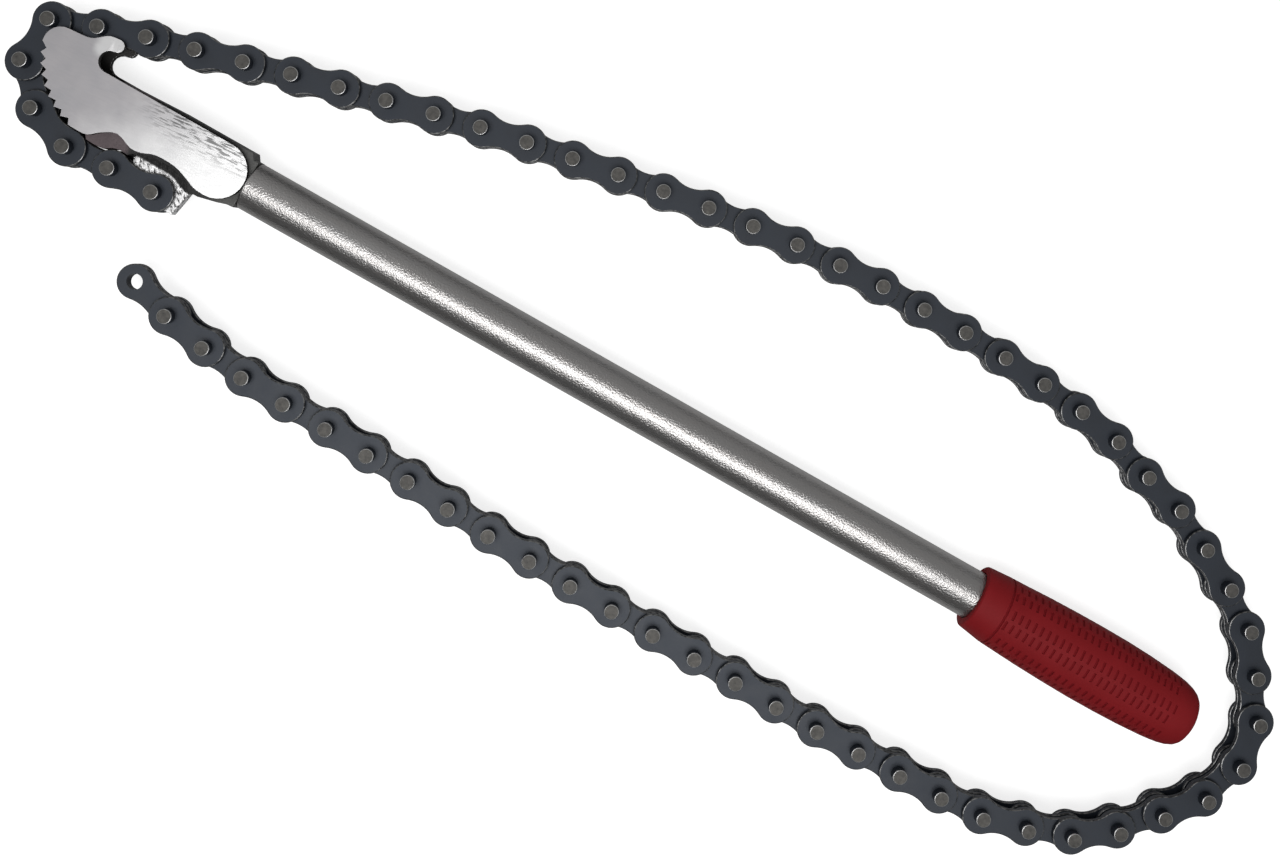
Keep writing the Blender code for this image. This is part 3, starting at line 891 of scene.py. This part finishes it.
def grip_profile():
    """The grip's outline from its bore round the mouth to its end, and the first groove row's place."""
    profile = [(GRIP_BORE_DEPTH, 0.0), (GRIP_BORE_DEPTH, GRIP_BORE_RADIUS), (0.0, GRIP_BORE_RADIUS)]
    lip_start = len(profile)
    for degrees in (0, 30, 60, 90):
        angle = math.radians(degrees)
        x = GRIP_LIP * (1 - math.sin(angle))
        profile.insert(lip_start, (x, GRIP_MOUTH_RADIUS - GRIP_LIP * (1 - math.cos(angle))))
    band_end = MOUTH_BAND_LENGTH
    first_row = band_end + BAND_GROOVE_LENGTH
    base = grip_radius(band_end / GRIP_LENGTH)
    profile.append((band_end - GROOVE_SLOPE, base))
    profile.append((band_end, base - GROOVE_DEPTH))
    profile.append((first_row - GROOVE_SLOPE, base - GROOVE_DEPTH))
    for row in range(GROOVE_ROWS + 1):
        for share in GROOVE_RING_SHARES:
            x = first_row + (row + share) * GROOVE_PITCH
            profile.append((x, grip_radius(x / GRIP_LENGTH)))
    for along, _, _ in GRIP_END_SHARES:
        if along * GRIP_LENGTH > profile[-1][0] + GROOVE_SLOPE:
            profile.append((along * GRIP_LENGTH, grip_radius(along)))
    profile.append((GRIP_LENGTH, 0.0))
    return profile, first_row


def groove_faces(shape, first_row):
    """The faces to sink. Grooves run across the grip, in pairs of columns that are half a pitch apart."""
    steps = GROOVE_COLUMNS * STEPS_PER_COLUMN
    chosen = []
    for face in shape.faces:
        centre = face.calc_center_median()
        row, share = divmod((centre.x - first_row) / GROOVE_PITCH, 1)
        if math.hypot(centre.y, centre.z) < GRIP_BORE_RADIUS + GRIP_LIP or not 0 <= row < GROOVE_ROWS:
            continue
        turn_share = math.atan2(centre.z, centre.y) / (2 * math.pi) % 1
        step = (int(turn_share * steps) - STEPS_BEFORE_COLUMNS) % steps
        column, within = divmod(step, STEPS_PER_COLUMN)
        first_step, low, high = 1, GROOVE_RING_SHARES[3], 1.0
        if column % 2:
            first_step, low, high = 0, GROOVE_RING_SHARES[1], GROOVE_RING_SHARES[2]
        if first_step <= within < first_step + STEPS_PER_GROOVE and low < share < high:
            chosen.append(face)
    return chosen


def build_grip():
    rubber_index, groove_index = range(2)
    low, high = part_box("grip")
    profile, first_row = grip_profile()
    shape = turned_shape(profile, GROOVE_COLUMNS * STEPS_PER_COLUMN, False)
    # The ring groove behind the mouth band takes the darker groove rubber, painted shade.
    for face in shape.faces:
        in_ring = MOUTH_BAND_LENGTH - GROOVE_SLOPE < face.calc_center_median().x < first_row
        face.material_index = groove_index if in_ring else rubber_index
    floors = groove_faces(shape, first_row)
    sunk = bmesh.ops.inset_region(
        shape,
        faces=floors,
        thickness=GROOVE_SLOPE,
        depth=-GROOVE_DEPTH,
        use_even_offset=True,
        use_boundary=True,
    )
    # Sunk faces take the groove rubber, whose darker colour is painted shade.
    for face in floors + sunk["faces"]:
        face.material_index = groove_index
    for vertex in shape.verts:
        outside = math.hypot(vertex.co.y, vertex.co.z) > GRIP_BORE_RADIUS + MERGE_DISTANCE
        if outside or vertex.co.x > GRIP_BORE_DEPTH:
            vertex.co.y += grip_drift(vertex.co.x / GRIP_LENGTH)
    middle = Vector((low.x, 0, mean_height("handle_tube")))
    bmesh.ops.translate(shape, verts=shape.verts, vec=middle)
    mesh = mesh_from("grip", shape, [rubber_finish(), groove_finish()])
    add_piece("grip_detailed", mesh, "handle", "grip_rubber", "grip")


# Studio
def build_floor():
    shape = bmesh.new()
    bmesh.ops.create_grid(shape, x_segments=1, y_segments=1, size=FLOOR_SIZE / 2)
    lowest = cad_box[0][2]
    bmesh.ops.translate(shape, verts=shape.verts, vec=(0, 0, lowest))
    mesh = bpy.data.meshes.new("floor")
    shape.to_mesh(mesh)
    shape.free()
    mesh.materials.append(floor_finish())
    floor = bpy.data.objects.new("floor", mesh)
    bpy.context.scene.collection.objects.link(floor)


def add_softbox(name, place, length, width, power):
    """A rectangular lamp that points at the middle of the object. Its length lies along X."""
    lamp = bpy.data.lights.new(name, "AREA")
    lamp.shape = "RECTANGLE"
    lamp.size = length
    lamp.size_y = width
    lamp.energy = power
    softbox = bpy.data.objects.new(name, lamp)
    bpy.context.scene.collection.objects.link(softbox)
    middle = (Vector(cad_box[0]) + Vector(cad_box[1])) / 2
    back = (place - middle).normalized()
    side = Vector((1, 0, 0))
    across = back.cross(side).normalized()
    side = across.cross(back)
    turn = Matrix((side, across, back)).transposed().to_4x4()
    softbox.matrix_world = Matrix.Translation(place) @ turn


def build_lights():
    """Two softboxes, and a sky that is darker opposite the hooks but white for the camera."""
    add_softbox("softbox", SOFTBOX_PLACE, SOFTBOX_LENGTH, SOFTBOX_WIDTH, SOFTBOX_POWER)
    add_softbox("fill", FILL_PLACE, FILL_SIZE, FILL_SIZE, FILL_POWER)
    sky = Sky("studio")
    direction = sky.node("ShaderNodeTexCoord", output="Generated")
    darkening = sky.step(sky.split(direction, "Y"), FRONT_SKY_START, FRONT_SKY_END)
    level = SKY_LEVEL - darkening * (SKY_LEVEL - FRONT_SKY_LEVEL)
    camera = sky.node("ShaderNodeLightPath", output="Is Camera Ray")
    sky.set(color=grey(1.0), strength=(1 - camera) * level + camera)
    bpy.context.scene.world = sky.world


def build_camera():
    data = bpy.data.cameras.new("camera")
    data.sensor_width = SENSOR_WIDTH_MM
    data.lens = FOCAL_PIXELS / IMAGE_WIDTH * SENSOR_WIDTH_MM
    data.shift_x = (IMAGE_WIDTH / 2 - PRINCIPAL_X) / IMAGE_WIDTH
    data.shift_y = (PRINCIPAL_Y - IMAGE_HEIGHT / 2) / IMAGE_WIDTH
    camera = bpy.data.objects.new("camera", data)
    bpy.context.scene.collection.objects.link(camera)
    turn = Matrix.Rotation(HANDLE_TILT, 4, "Z")
    turn @= Matrix.Rotation(CAMERA_YAW, 4, "Y") @ Matrix.Rotation(CAMERA_PITCH, 4, "X")
    camera.matrix_world = Matrix.Translation(CAMERA_PLACE) @ turn
    bpy.context.scene.camera = camera


build_jaws()
build_core()
build_tube()
build_grip()
build_chain()
build_floor()
build_lights()
build_camera()
bpy.context.scene.view_settings.view_transform = "Standard"
